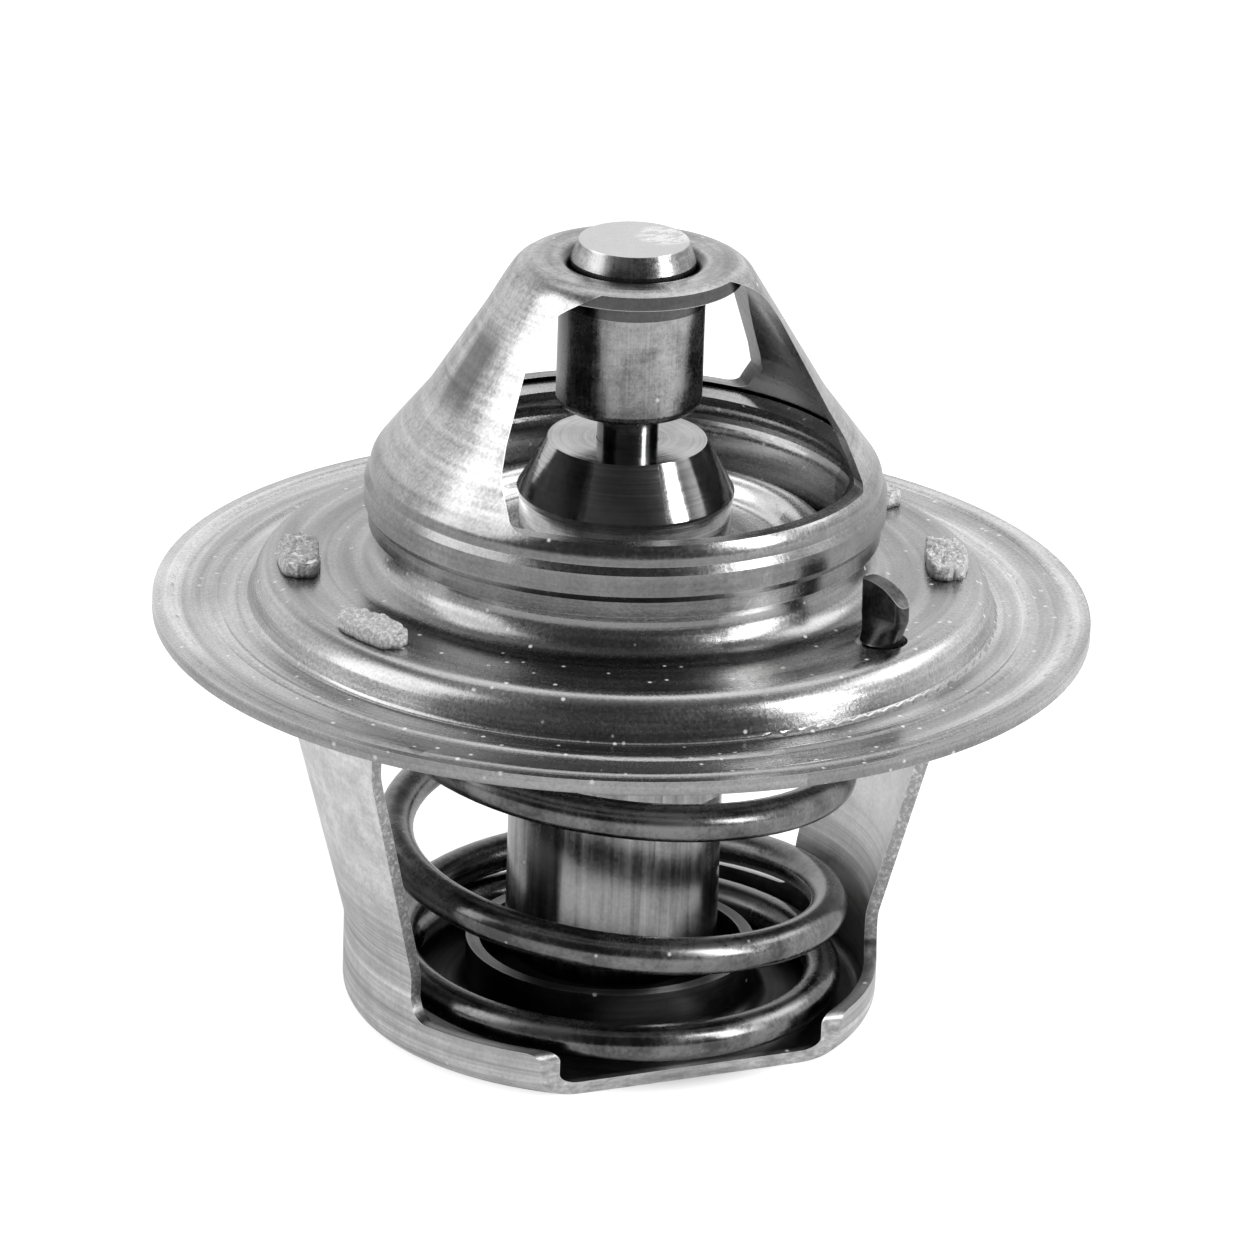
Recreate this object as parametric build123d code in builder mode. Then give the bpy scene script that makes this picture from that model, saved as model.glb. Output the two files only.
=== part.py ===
from build123d import *
import math
import os

# Wax thermostat for an engine's coolant circuit, closed, standing on its lower frame.
# Millimetres. Z is the axis and points up, and Z = 0 is the upper face of the flange's rim.
# X runs through the two legs of the bridge and of the lower frame, and the windows face Y.
# Azimuths are degrees from -Y towards +X.

os.makedirs("parts", exist_ok=True)

# Clearances
PRESS_GAP = 0.01  # radial, between pieces that are pressed together
RUNNING_GAP = 0.03  # radial, piston in its guide
SEAT_GAP = 0.05  # closed valve to its seat
FACE_GAP = 0.02  # axial, between pieces that rest on each other
CRIMP_GAP = 0.02  # bridge collar over the neck

# Flange
RIM_RADIUS = 24.0
FLANGE_SHEET = 0.75
HAT_HEIGHT = 2.05
HAT_RADIUS = 18.5
HAT_DRAFT = 0.65
HAT_SHOULDER_ROUNDING = 1.5
HAT_FOOT_ROUNDING = 0.3
NECK_RADIUS = 12.45
NECK_HEIGHT = 7.7
NECK_LEAN = 0.4
NECK_FOOT_RADIUS = 1.7
NECK_BEAD_HEIGHT = 6.0
NECK_BEAD_WIDTH = 1.5
NECK_BEAD_DEPTH = 0.25
RIM_BEAD_INSETS = (3.05, 0.85)
RIM_BEAD_WIDTH = 0.8
RIM_BEAD_HEIGHT = 0.12

# Upper bridge
BRIDGE_SHEET = 0.6
BRIDGE_TOP = 18.6
BRIDGE_TOP_RADIUS = 5.75
BRIDGE_WAIST_RADIUS = 10.2
BRIDGE_WAIST_HEIGHT = 11.35
BRIDGE_SHOULDER_HEIGHT = 7.55
BRIDGE_HEM_HEIGHT = 4.26
BRIDGE_EYE_DEPTH = 2.13
WINDOW_SILL = 7.97
WINDOW_HALF_WIDTH = 9.62
WINDOW_KNEE_HALF_WIDTH = 9.42
WINDOW_KNEE_HEIGHT = 9.9
WINDOW_HEAD_HALF_WIDTH = 5.4
WINDOW_HEAD = 18.7
WINDOW_HEAD_ROUNDING = 5.6
WINDOW_FOOT_ROUNDING = 0.4
WINDOW_DISC_RADIUS = 5.55

# Piston and its seat
PISTON_RADIUS = 1.57
SEAT_SPIGOT_RADIUS = 3.18
SEAT_BODY_RADIUS = 3.72
SEAT_BOTTOM = 10.85
SEAT_NOSE_HEIGHT = 0.99
SEAT_NOSE_RADIUS = 2.79
SEAT_BORE_DEPTH = 4.2
SEAT_ROUNDING = 0.45

# Wax element
GUIDE_TOP = 8.94
GUIDE_TOP_RADIUS = 4.06
GUIDE_CONE_RADIUS = 5.55
GUIDE_CONE_FOOT = 6.25
GUIDE_BODY_RADIUS = 5.42
GUIDE_SHOULDER_RADIUS = 6.4
GUIDE_SHOULDER_DEPTH = 1.0
GUIDE_NECK_RADIUS = 4.9
GUIDE_FOOT = -8.0
GUIDE_FOOT_RADIUS = 5.6
GUIDE_FOOT_DEPTH = 1.4
GUIDE_CHAMBER_RADIUS = 3.4
GUIDE_CHAMBER_DEPTH = 3.6
PISTON_REACH = 12.4
WASHER_DEPTH = 0.6
DIAPHRAGM_DEPTH = 0.6
CUP_RADIUS = 5.5
CUP_SHEET = 0.6
CUP_BOTTOM = -19.5
CUP_CRIMP_DEPTH = 3.1
WAX_AIR_GAP = 0.1

# Valve plate
PLATE_SHEET = 0.8
PLATE_LEVEL = 3.2
PLATE_DISH_RADIUS = 8.4
PLATE_RIDGE_RADIUS = 9.6
PLATE_RADIUS = 13.5

# Lower frame
FRAME_SHEET = 0.65
FRAME_BOTTOM = -22.0
FRAME_CUP_RADIUS = 13.85
FRAME_WALL_TOP = -19.55
FRAME_BEND_HEIGHT = -17.2
FRAME_KNEE_HEIGHT = -5.7
FRAME_LEG_INSET = 1.6
FRAME_BEND_ROUNDING = 3.0
FRAME_CORNER_ROUNDING = 1.2
FRAME_FLOOR_ROUNDING = 1.25
FRAME_EYE_ROUNDING = 1.4
FRAME_CHORD_ROUNDING = 0.5
FRAME_LEG_SPREAD = 41.0
FRAME_CHORD = 11.05
FRAME_EYE_RADIUS = 7.5
FRAME_EYE_TOP = -18.7
TAB_SPREAD = 9.2
TAB_OFFSET = 15.9
TAB_HEAD_OFFSET = 18.4
TAB_HEAD_SPREAD = 14.6
TAB_HEAD_WIDTH = 1.85
TAB_HEAD_HEIGHT = 0.68
TAB_HEAD_CORNER = 0.7
TAB_HEAD_ROUNDING = 0.25
TAB_CLEARANCE = 0.1

# Spring
WIRE_RADIUS = 0.97
SPRING_TOP_RADIUS = 11.72
SPRING_WALL_GAP = 1.23
SPRING_PITCH = 7.4
SPRING_DEAD_TURNS = 0.62
SPRING_REST_TURNS = 0.22
SPRING_END_AZIMUTH = 62.2

# Vent pin
VENT_AZIMUTH = 31.5
VENT_CIRCLE = 16.03
VENT_HOLE_RADIUS = 1.35
VENT_STEM_RADIUS = 0.95
VENT_BULB_RADIUS = 1.6
VENT_BULB_LENGTH = 2.6
VENT_TRAVEL = 0.9
VENT_NECK_RADIUS = 1.07
VENT_BLADE_WIDTH = 2.85
VENT_BLADE_SHEET = 0.9
VENT_BLADE_SHIFT = 0.15
VENT_BLADE_SHIFT_TURN = -23.0
VENT_BLADE_HEIGHT = 3.12
VENT_BLADE_DROP = 1.0
VENT_PINCH_HEIGHT = 1.3
VENT_BLADE_TURN = -68.0

LEG_AZIMUTHS = (-90.0, 90.0)


def radial_plane(azimuth):
    """Upright plane through the axis: local x runs outwards at the azimuth, local y runs up."""
    turn = math.radians(azimuth)
    return Plane(
        origin=(0, 0, 0),
        x_dir=(math.sin(turn), -math.cos(turn), 0),
        z_dir=(-math.cos(turn), -math.sin(turn), 0),
    )


def at_azimuth(radius, azimuth, height=0.0):
    """Point at a radius, azimuth and height."""
    turn = math.radians(azimuth)
    return (radius * math.sin(turn), -radius * math.cos(turn), height)


def sheet_section(corners, radii, thickness):
    """Section of a bent sheet: a line with rounded corners, and its copy one thickness to the right."""
    points = [Vector(*corner) for corner in corners]
    ways = [(end - start).normalized() for start, end in zip(points, points[1:])]
    sides = [Vector(way.Y, -way.X) for way in ways]
    copies = [points[0] + sides[0] * thickness]
    copy_radii = []
    for index, radius in enumerate(radii):
        mitre = (sides[index] + sides[index + 1]) / (1 + sides[index].dot(sides[index + 1]))
        copies.append(points[index + 1] + mitre * thickness)
        turns_left = ways[index].cross(ways[index + 1]).Z > 0
        copy_radii.append(radius + thickness if turns_left else max(radius - thickness, 0))
    copies.append(points[-1] + sides[-1] * thickness)
    with BuildSketch(mode=Mode.PRIVATE) as section:
        with BuildLine():
            FilletPolyline(*points, radius=radii)
            FilletPolyline(*copies, radius=copy_radii)
            Line(points[0], copies[0])
            Line(points[-1], copies[-1])
        make_face()
    return section.sketch_local


def ring_sector(inner, outer, low, high, azimuth, spread):
    """Part of a ring, centred on an azimuth."""
    with BuildPart(mode=Mode.PRIVATE) as ring:
        with BuildSketch(radial_plane(azimuth - spread / 2)):
            with Locations(((inner + outer) / 2, (low + high) / 2)):
                Rectangle(outer - inner, high - low)
        revolve(axis=Axis.Z, revolution_arc=spread)
    return ring.part


def save(builder, name):
    """Label a finished piece and write its STEP file."""
    builder.part.label = name
    export_step(builder.part, f"parts/{name}.step")


# Heights and radii that follow from the sizes above
rim_underside = -FLANGE_SHEET
hat_underside = HAT_HEIGHT - FLANGE_SHEET
neck_inside = NECK_RADIUS - FLANGE_SHEET
hat_foot_radius = HAT_RADIUS + HAT_DRAFT
collar_radius = NECK_RADIUS + CRIMP_GAP + BRIDGE_SHEET
bead_low = NECK_BEAD_HEIGHT - NECK_BEAD_WIDTH / 2
bead_high = NECK_BEAD_HEIGHT + NECK_BEAD_WIDTH / 2
bead_ramp = NECK_BEAD_WIDTH / 4
bead_shift = BRIDGE_SHEET * math.tan(math.atan2(NECK_BEAD_DEPTH, bead_ramp) / 2)
frame_floor = FRAME_BOTTOM + FRAME_SHEET
leg_radius = HAT_RADIUS - FRAME_LEG_INSET
tab_radius = leg_radius - FRAME_SHEET / 2
tab_azimuths = [leg + side * TAB_OFFSET for leg in LEG_AZIMUTHS for side in (-1, 1)]
tab_head_azimuths = [leg + side * TAB_HEAD_OFFSET for leg in LEG_AZIMUTHS for side in (-1, 1)]
vent_place = at_azimuth(VENT_CIRCLE, VENT_AZIMUTH)

# Flange: rim, hat and neck are one drawn sheet, and the inside of the neck's foot is the valve seat
slot_inner = tab_radius - FRAME_SHEET / 2 - TAB_CLEARANCE
slot_outer = tab_radius + FRAME_SHEET / 2 + TAB_CLEARANCE
slot_low = hat_underside - FLANGE_SHEET
slot_high = HAT_HEIGHT + FLANGE_SHEET
slot_spread = TAB_SPREAD + 2 * math.degrees(TAB_CLEARANCE / tab_radius)
tab_slots = [
    ring_sector(slot_inner, slot_outer, slot_low, slot_high, azimuth, slot_spread)
    for azimuth in tab_azimuths
]
with BuildPart() as flange:
    with BuildSketch(Plane.XZ):
        add(
            sheet_section(
                [
                    (NECK_RADIUS - NECK_LEAN, NECK_HEIGHT),
                    (NECK_RADIUS, bead_high + bead_ramp / 2),
                    (NECK_RADIUS, bead_high),
                    (NECK_RADIUS + NECK_BEAD_DEPTH, bead_high - bead_ramp),
                    (NECK_RADIUS + NECK_BEAD_DEPTH, bead_low + bead_ramp),
                    (NECK_RADIUS, bead_low),
                    (NECK_RADIUS, HAT_HEIGHT),
                    (HAT_RADIUS, HAT_HEIGHT),
                    (hat_foot_radius, 0),
                    (RIM_RADIUS, 0),
                ],
                [0.0, 0.0, 0.0, 0.0, 0.0, NECK_FOOT_RADIUS, HAT_SHOULDER_ROUNDING, HAT_FOOT_ROUNDING],
                FLANGE_SHEET,
            )
        )
    revolve(axis=Axis.Z)
    for bead in [RIM_RADIUS - inset for inset in RIM_BEAD_INSETS]:
        with BuildSketch(Plane.XZ):
            with BuildLine():
                bead_start = (bead - RIM_BEAD_WIDTH / 2, 0)
                bead_crown = (bead, RIM_BEAD_HEIGHT)
                bead_end = (bead + RIM_BEAD_WIDTH / 2, 0)
                ThreePointArc(bead_start, bead_crown, bead_end)
                Line(bead_end, bead_start)
            make_face()
        revolve(axis=Axis.Z)
    add(tab_slots, mode=Mode.SUBTRACT)
    with Locations((vent_place[0], vent_place[1], HAT_HEIGHT)):
        Hole(VENT_HOLE_RADIUS, depth=2 * FLANGE_SHEET)
    rim_edge = flange.edges().filter_by(GeomType.CIRCLE).group_by(SortBy.RADIUS)[-1].sort_by(Axis.Z)[0]
    fillet(rim_edge, RIM_BEAD_HEIGHT)
save(flange, "flange")

# Upper bridge: one stamping, with a turned-down eye, two windows and a collar over the neck
with BuildPart() as window_cutter:
    with BuildSketch(Plane.XZ) as window:
        with BuildLine():
            window_side = [
                (WINDOW_HALF_WIDTH, WINDOW_SILL),
                (WINDOW_KNEE_HALF_WIDTH, WINDOW_KNEE_HEIGHT),
                (WINDOW_HEAD_HALF_WIDTH, WINDOW_HEAD),
            ]
            Polyline(*window_side, *[(-x, y) for x, y in reversed(window_side)], close=True)
        make_face()
        fillet(window.vertices().group_by(Axis.Y)[0], WINDOW_FOOT_ROUNDING)
        fillet(window.vertices().group_by(Axis.Y)[-1], WINDOW_HEAD_ROUNDING)
    extrude(amount=2 * collar_radius, both=True)
    Cylinder(WINDOW_DISC_RADIUS, 4 * BRIDGE_TOP, mode=Mode.SUBTRACT)

with BuildPart() as upper_bridge:
    with BuildSketch(Plane.XZ):
        add(
            sheet_section(
                [
                    (SEAT_SPIGOT_RADIUS + PRESS_GAP, BRIDGE_TOP - BRIDGE_EYE_DEPTH),
                    (SEAT_SPIGOT_RADIUS + PRESS_GAP, BRIDGE_TOP),
                    (BRIDGE_TOP_RADIUS, BRIDGE_TOP),
                    (BRIDGE_WAIST_RADIUS, BRIDGE_WAIST_HEIGHT),
                    (collar_radius, BRIDGE_SHOULDER_HEIGHT),
                    (collar_radius, bead_high + bead_shift),
                    (collar_radius + NECK_BEAD_DEPTH, bead_high - bead_ramp + bead_shift),
                    (collar_radius + NECK_BEAD_DEPTH, bead_low + bead_ramp - bead_shift),
                    (collar_radius, bead_low - bead_shift),
                    (collar_radius, BRIDGE_HEM_HEIGHT),
                ],
                [0.8, 1.6, 2.0, 1.2, 0.0, 0.0, 0.0, 0.0],
                BRIDGE_SHEET,
            )
        )
    revolve(axis=Axis.Z)
    add(window_cutter.part, mode=Mode.SUBTRACT)
save(upper_bridge, "upper_bridge")

# Piston seat: turned bush, pressed into the bridge's eye from below, with a bevelled nose above it
seat_shoulder = BRIDGE_TOP - BRIDGE_EYE_DEPTH - FACE_GAP
with BuildPart() as piston_seat:
    with BuildSketch(Plane.XZ):
        Polygon(
            (0, SEAT_BOTTOM),
            (SEAT_BODY_RADIUS, SEAT_BOTTOM),
            (SEAT_BODY_RADIUS, seat_shoulder),
            (SEAT_SPIGOT_RADIUS, seat_shoulder),
            (SEAT_SPIGOT_RADIUS, BRIDGE_TOP),
            (SEAT_NOSE_RADIUS, BRIDGE_TOP + SEAT_NOSE_HEIGHT),
            (0, BRIDGE_TOP + SEAT_NOSE_HEIGHT),
            align=None,
        )
    revolve(axis=Axis.Z)
    body_edges = piston_seat.edges().filter_by(GeomType.CIRCLE)
    fillet(body_edges.sort_by(Axis.Z)[0], SEAT_ROUNDING)
    with Locations(Location((0, 0, SEAT_BOTTOM), (180, 0, 0))):
        Hole(PISTON_RADIUS + PRESS_GAP, depth=SEAT_BORE_DEPTH)
save(piston_seat, "piston_seat")

# Piston: ground pin, fixed in its seat, reaching down the guide's bore
piston_top = SEAT_BOTTOM + SEAT_BORE_DEPTH - FACE_GAP
piston_foot = GUIDE_TOP - PISTON_REACH
with BuildPart() as piston:
    with BuildSketch(Plane.XY.offset(piston_foot)):
        Circle(PISTON_RADIUS)
    extrude(amount=piston_top - piston_foot)
    chamfer(piston.edges().filter_by(GeomType.CIRCLE), 0.15)
save(piston, "piston")

# Guide of the wax element: turned cone, shoulder for the valve plate, and foot that the cup is crimped on
bore_radius = PISTON_RADIUS + RUNNING_GAP
plate_underside = PLATE_LEVEL - PLATE_SHEET
shoulder_top = plate_underside - FACE_GAP
shoulder_foot = shoulder_top - GUIDE_SHOULDER_DEPTH
foot_top = GUIDE_FOOT + GUIDE_FOOT_DEPTH
with BuildPart() as element_guide:
    with BuildSketch(Plane.XZ):
        Polygon(
            (bore_radius, GUIDE_TOP),
            (GUIDE_TOP_RADIUS, GUIDE_TOP),
            (GUIDE_CONE_RADIUS, GUIDE_CONE_FOOT),
            (GUIDE_CONE_RADIUS, GUIDE_CONE_FOOT - FLANGE_SHEET / 3),
            (GUIDE_BODY_RADIUS, GUIDE_CONE_FOOT - FLANGE_SHEET / 2),
            (GUIDE_BODY_RADIUS, shoulder_top),
            (GUIDE_SHOULDER_RADIUS, shoulder_top),
            (GUIDE_SHOULDER_RADIUS, shoulder_foot),
            (GUIDE_NECK_RADIUS, shoulder_foot),
            (GUIDE_NECK_RADIUS, foot_top),
            (GUIDE_FOOT_RADIUS, foot_top),
            (GUIDE_FOOT_RADIUS, GUIDE_FOOT),
            (GUIDE_CHAMBER_RADIUS, GUIDE_FOOT),
            (bore_radius, GUIDE_FOOT + GUIDE_CHAMBER_DEPTH),
            align=None,
        )
    revolve(axis=Axis.Z)
save(element_guide, "element_guide")

# Washer between the piston's end and the rubber plug
washer_foot = piston_foot - FACE_GAP - WASHER_DEPTH
with BuildPart() as anti_extrusion_washer:
    with BuildSketch(Plane.XY.offset(washer_foot)):
        Circle(PISTON_RADIUS)
    extrude(amount=WASHER_DEPTH)
save(anti_extrusion_washer, "anti_extrusion_washer")

# Rubber plug: fills the guide's chamber and is squeezed up the bore behind the washer
with BuildPart() as rubber_plug:
    with BuildSketch(Plane.XZ):
        Polygon(
            (0, washer_foot - FACE_GAP),
            (PISTON_RADIUS, washer_foot - FACE_GAP),
            (PISTON_RADIUS, GUIDE_FOOT + GUIDE_CHAMBER_DEPTH),
            (GUIDE_CHAMBER_RADIUS - RUNNING_GAP, GUIDE_FOOT + FACE_GAP),
            (0, GUIDE_FOOT + FACE_GAP),
            align=None,
        )
    revolve(axis=Axis.Z)
save(rubber_plug, "rubber_plug")

# Diaphragm: rubber disc clamped under the guide's foot
diaphragm_top = GUIDE_FOOT - FACE_GAP
with BuildPart() as diaphragm:
    with BuildSketch(Plane.XY.offset(diaphragm_top - DIAPHRAGM_DEPTH)):
        Circle(GUIDE_FOOT_RADIUS)
    extrude(amount=DIAPHRAGM_DEPTH)
save(diaphragm, "diaphragm")

# Element cup: drawn cup whose wide mouth is rolled over the guide's foot
cup_inside = CUP_RADIUS - CUP_SHEET
mouth_inside = GUIDE_FOOT_RADIUS + PRESS_GAP
mouth_radius = mouth_inside + CUP_SHEET
ledge = diaphragm_top - DIAPHRAGM_DEPTH - FACE_GAP
lip_underside = foot_top + FACE_GAP
lip_top = lip_underside + CUP_SHEET
with BuildPart() as element_cup:
    with BuildSketch(Plane.XZ):
        Polygon(
            (0, CUP_BOTTOM),
            (CUP_RADIUS, CUP_BOTTOM),
            (CUP_RADIUS, ledge - CUP_SHEET),
            (mouth_radius, ledge - CUP_SHEET),
            (mouth_radius, lip_top),
            (GUIDE_NECK_RADIUS + PRESS_GAP, lip_top),
            (GUIDE_NECK_RADIUS + PRESS_GAP, lip_underside),
            (mouth_inside, lip_underside),
            (mouth_inside, ledge),
            (cup_inside, ledge),
            (cup_inside, CUP_BOTTOM + CUP_SHEET),
            (0, CUP_BOTTOM + CUP_SHEET),
            align=None,
        )
    revolve(axis=Axis.Z)
    round_edges = element_cup.edges().filter_by(GeomType.CIRCLE)
    fillet(round_edges.group_by(Axis.Z)[0], 1.0)
    fillet(round_edges.group_by(Axis.Z)[-1].sort_by(SortBy.RADIUS)[-1], CUP_SHEET / 2)
save(element_cup, "element_cup")

# Wax charge
with BuildPart() as wax_charge:
    with BuildSketch(Plane.XY.offset(CUP_BOTTOM + CUP_SHEET + FACE_GAP)):
        Circle(cup_inside - FACE_GAP)
    extrude(amount=ledge - CUP_BOTTOM - CUP_SHEET - FACE_GAP - WAX_AIR_GAP)
    chamfer(wax_charge.edges().group_by(Axis.Z)[0], 0.6)
save(wax_charge, "wax_charge")

# Valve plate: its flank is a cone that closes on the rounded foot of the neck
seat_centre_radius = NECK_RADIUS + NECK_FOOT_RADIUS
seat_centre_height = HAT_HEIGHT + NECK_FOOT_RADIUS
seat_radius = NECK_FOOT_RADIUS + FLANGE_SHEET + SEAT_GAP
flank_sum = seat_centre_radius + seat_centre_height - math.sqrt(2) * seat_radius
with BuildPart() as valve_plate:
    with BuildSketch(Plane.XZ):
        add(
            sheet_section(
                [
                    (GUIDE_BODY_RADIUS + PRESS_GAP, PLATE_LEVEL),
                    (PLATE_DISH_RADIUS, PLATE_LEVEL),
                    (PLATE_RIDGE_RADIUS, flank_sum - PLATE_RIDGE_RADIUS),
                    (PLATE_RADIUS, flank_sum - PLATE_RADIUS),
                ],
                [0.8, 1.1],
                PLATE_SHEET,
            )
        )
    revolve(axis=Axis.Z)
save(valve_plate, "valve_plate")

# Lower frame: cup with a turned-up eye, cut straight at front and back, and two legs with tabs
tab_low = hat_underside - FRAME_SHEET
head_inner = tab_radius - TAB_HEAD_WIDTH / 2
head_outer = tab_radius + TAB_HEAD_WIDTH / 2
head_low = HAT_HEIGHT + FACE_GAP
head_high = head_low + TAB_HEAD_HEIGHT
tabs = [
    ring_sector(leg_radius - FRAME_SHEET, leg_radius, tab_low, head_high, azimuth, TAB_SPREAD)
    for azimuth in tab_azimuths
]
tab_heads = []
for azimuth in tab_head_azimuths:
    head = ring_sector(head_inner, head_outer, head_low, head_high, azimuth, TAB_HEAD_SPREAD)
    head = fillet(head.edges().filter_by(Axis.Z), TAB_HEAD_CORNER)
    tab_heads.append(fillet(head.edges().group_by(Axis.Z)[-1], TAB_HEAD_ROUNDING))
with BuildPart() as lower_frame:
    with BuildSketch(Plane.XZ):
        add(
            sheet_section(
                [
                    (FRAME_CUP_RADIUS, FRAME_WALL_TOP),
                    (FRAME_CUP_RADIUS, FRAME_BOTTOM),
                    (FRAME_EYE_RADIUS - FRAME_SHEET, FRAME_BOTTOM),
                    (FRAME_EYE_RADIUS - FRAME_SHEET, FRAME_EYE_TOP),
                ],
                [FRAME_FLOOR_ROUNDING, FRAME_EYE_ROUNDING],
                FRAME_SHEET,
            )
        )
    revolve(axis=Axis.Z)
    for side in (-1, 1):
        with BuildSketch(Plane.XZ.offset(side * FRAME_CHORD)):
            Rectangle(4 * FRAME_CUP_RADIUS, 4 * FRAME_CUP_RADIUS)
        extrude(amount=side * FRAME_CUP_RADIUS, mode=Mode.SUBTRACT)
    for leg in LEG_AZIMUTHS:
        with BuildSketch(radial_plane(leg - FRAME_LEG_SPREAD / 2)):
            add(
                sheet_section(
                    [
                        (leg_radius, hat_underside - FACE_GAP),
                        (leg_radius, FRAME_KNEE_HEIGHT),
                        (FRAME_CUP_RADIUS, FRAME_BEND_HEIGHT),
                        (FRAME_CUP_RADIUS, FRAME_WALL_TOP),
                    ],
                    [FRAME_BEND_ROUNDING, FRAME_BEND_ROUNDING],
                    FRAME_SHEET,
                )
            )
        revolve(axis=Axis.Z, revolution_arc=FRAME_LEG_SPREAD)
    wall_top_corners = [
        edge
        for edge in lower_frame.edges().filter_by(GeomType.LINE)
        if abs(edge.center().Z - FRAME_WALL_TOP) < FACE_GAP
        if abs(edge.length - FRAME_SHEET) < FACE_GAP
    ]
    fillet(wall_top_corners, FRAME_CORNER_ROUNDING)
    chord_corners = [
        edge
        for edge in lower_frame.edges().filter_by(GeomType.LINE)
        if abs(edge.center().Z - FRAME_WALL_TOP) < FACE_GAP
        if abs(abs(edge.center().Y) - FRAME_CHORD) < FACE_GAP
    ]
    fillet(chord_corners, FRAME_CHORD_ROUNDING)
    add(tabs)
    add(tab_heads)
save(lower_frame, "lower_frame")

# Spring: left-hand coil from the valve plate's flank to the frame's floor
spring_top = flank_sum - SPRING_TOP_RADIUS - math.sqrt(2) * (PLATE_SHEET + WIRE_RADIUS + FACE_GAP)
spring_foot = frame_floor + WIRE_RADIUS + FACE_GAP
spring_foot_radius = FRAME_CUP_RADIUS - FRAME_SHEET - SPRING_WALL_GAP - WIRE_RADIUS
spring_drop = spring_top - spring_foot
ease_in_turns = 0.3
ease_out_turns = 1.45
even_turns = spring_drop / SPRING_PITCH - (ease_in_turns + ease_out_turns) / 2
live_turns = ease_in_turns + even_turns + ease_out_turns
all_turns = SPRING_DEAD_TURNS + live_turns + SPRING_REST_TURNS


def coil_height(turn):
    """Height of the wire's centre after a number of turns from the upper end."""
    live = min(max(turn - SPRING_DEAD_TURNS, 0), live_turns)
    if live < ease_in_turns:
        return spring_top - SPRING_PITCH * live**2 / (2 * ease_in_turns)
    if live < ease_in_turns + even_turns:
        return spring_top - SPRING_PITCH * (live - ease_in_turns / 2)
    return spring_foot + SPRING_PITCH * (live_turns - live) ** 2 / (2 * ease_out_turns)


def coil_radius(turn):
    """Radius of the coil, narrowing from the valve plate to the floor."""
    share = min(max((turn - SPRING_DEAD_TURNS) / live_turns, 0), 1)
    return SPRING_TOP_RADIUS - (SPRING_TOP_RADIUS - spring_foot_radius) * share


steps_per_turn = 16
coil_steps = math.ceil(all_turns * steps_per_turn)
coil_points = []
for step in range(coil_steps + 1):
    turn = all_turns * step / coil_steps
    coil_points.append(at_azimuth(coil_radius(turn), SPRING_END_AZIMUTH + 360 * turn, coil_height(turn)))
with BuildPart() as spring:
    with BuildLine() as coil:
        Spline(*coil_points)
    with BuildSketch(Plane(origin=coil_points[0], z_dir=coil.line % 0)):
        Circle(WIRE_RADIUS)
    sweep(is_frenet=False)
save(spring, "spring")

# Vent pin: bulb under the hat, stem in the hole, and above it the wire pinched into a blade
head_foot = HAT_HEIGHT + FACE_GAP
bulb_top = hat_underside - VENT_TRAVEL - FACE_GAP
bulb_foot = bulb_top - VENT_BULB_LENGTH
blade_turn = math.radians(VENT_BLADE_TURN)
shift_turn = math.radians(VENT_BLADE_SHIFT_TURN)
blade_place = (
    vent_place[0] + VENT_BLADE_SHIFT * math.cos(shift_turn),
    vent_place[1] + VENT_BLADE_SHIFT * math.sin(shift_turn),
    head_foot + VENT_PINCH_HEIGHT,
)
blade_plane = Plane(blade_place).rotated((0, 0, VENT_BLADE_TURN))
blade_side = Plane(
    origin=(blade_place[0], blade_place[1], head_foot),
    x_dir=(math.cos(blade_turn), math.sin(blade_turn), 0),
    z_dir=(math.sin(blade_turn), -math.cos(blade_turn), 0),
)
with BuildPart() as vent_pin:
    with BuildSketch(Plane((vent_place[0], vent_place[1], bulb_foot))):
        Circle(VENT_BULB_RADIUS)
    extrude(amount=VENT_BULB_LENGTH)
    fillet(vent_pin.edges().filter_by(GeomType.CIRCLE).group_by(Axis.Z)[0], VENT_BULB_RADIUS * 0.6)
    with BuildSketch(Plane((vent_place[0], vent_place[1], bulb_top))):
        Circle(VENT_STEM_RADIUS)
    extrude(amount=head_foot - bulb_top)
    with BuildSketch(Plane((vent_place[0], vent_place[1], head_foot))):
        Circle(VENT_NECK_RADIUS)
    with BuildSketch(blade_plane):
        RectangleRounded(VENT_BLADE_WIDTH, VENT_BLADE_SHEET, VENT_BLADE_SHEET * 0.4)
    loft()
    with BuildSketch(blade_plane):
        RectangleRounded(VENT_BLADE_WIDTH, VENT_BLADE_SHEET, VENT_BLADE_SHEET * 0.4)
    extrude(amount=VENT_BLADE_HEIGHT - VENT_PINCH_HEIGHT)
    with BuildSketch(blade_side):
        with BuildLine():
            crown_start = (-VENT_BLADE_WIDTH / 2, VENT_BLADE_HEIGHT - VENT_BLADE_DROP * 0.1)
            crown_middle = (VENT_BLADE_WIDTH * 0.1, VENT_BLADE_HEIGHT - VENT_BLADE_DROP * 0.25)
            crown_end = (VENT_BLADE_WIDTH / 2, VENT_BLADE_HEIGHT - VENT_BLADE_DROP)
            ThreePointArc(crown_start, crown_middle, crown_end)
            Polyline(
                crown_end,
                (VENT_BLADE_WIDTH, VENT_BLADE_HEIGHT - VENT_BLADE_DROP),
                (VENT_BLADE_WIDTH, 2 * VENT_BLADE_HEIGHT),
                (-VENT_BLADE_WIDTH, 2 * VENT_BLADE_HEIGHT),
                (-VENT_BLADE_WIDTH, crown_start[1]),
                crown_start,
            )
        make_face()
    extrude(amount=VENT_BLADE_WIDTH, both=True, mode=Mode.SUBTRACT)
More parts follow.
